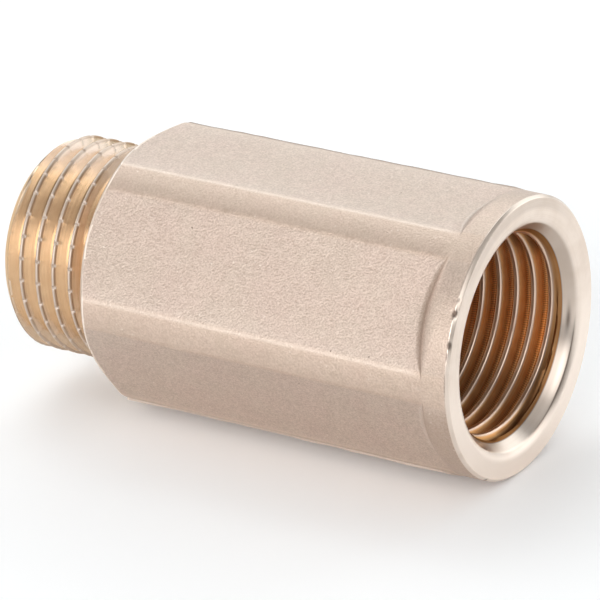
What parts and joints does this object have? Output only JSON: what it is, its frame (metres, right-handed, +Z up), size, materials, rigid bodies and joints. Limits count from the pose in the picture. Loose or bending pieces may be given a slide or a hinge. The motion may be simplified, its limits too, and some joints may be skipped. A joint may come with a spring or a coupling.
{
  "type": "pipe extension fitting",
  "caption": "Brass pipe extension with a long hexagon body, an outside pipe thread at one end and a threaded socket in a round collar at the other.",
  "frame": {"origin": "on the supporting surface, below the middle of the fitting's length", "axes": "+X along the pipe axis from the outside thread to the socket, +Z up through a flat of the hexagon"},
  "size_m": [0.0504, 0.0264, 0.0264],
  "materials": {
    "forged_brass": "sand-blasted forging with machined ends"
  },
  "bodies": {
    "root": {"extension_fitting": "forged_brass"}
  },
  "joints": []
}
